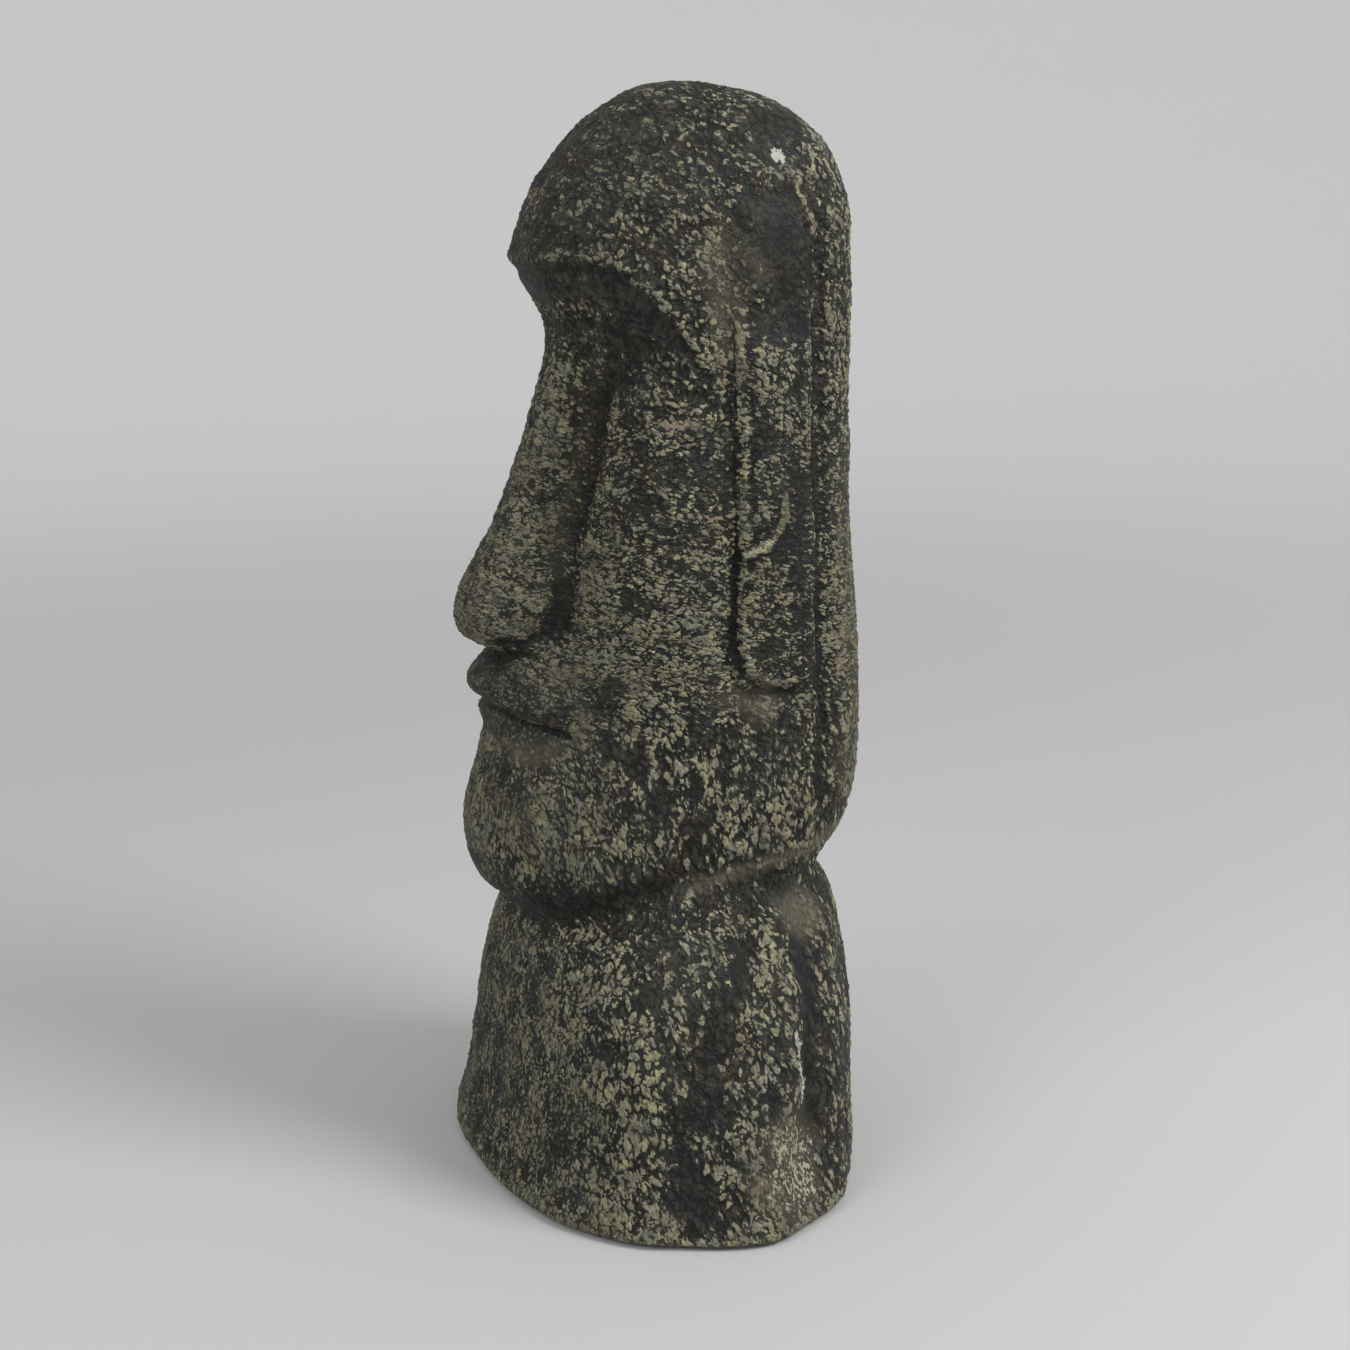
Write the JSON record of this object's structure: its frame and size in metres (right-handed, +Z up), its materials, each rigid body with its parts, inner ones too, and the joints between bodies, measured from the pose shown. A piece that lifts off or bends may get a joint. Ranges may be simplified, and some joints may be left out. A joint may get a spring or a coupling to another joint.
{
  "type": "moai head statue",
  "caption": "Stylised moai head on a low bust, cast whole, with a jutting brow, long nose and long-lobed ears; it stands on its flat underside.",
  "frame": {"origin": "middle of the underside, on the surface the statue stands on", "axes": "+Z up; the face looks along -Y; its left ear is on +X"},
  "size_m": [0.2678, 0.191, 0.5],
  "materials": {
    "cast_stone": "dark matt paint over pebbled cast stone, dry-brushed in taupe, sand and grey, with a few pale chips"
  },
  "bodies": {
    "root": {"moai_head": "cast_stone"}
  },
  "joints": []
}
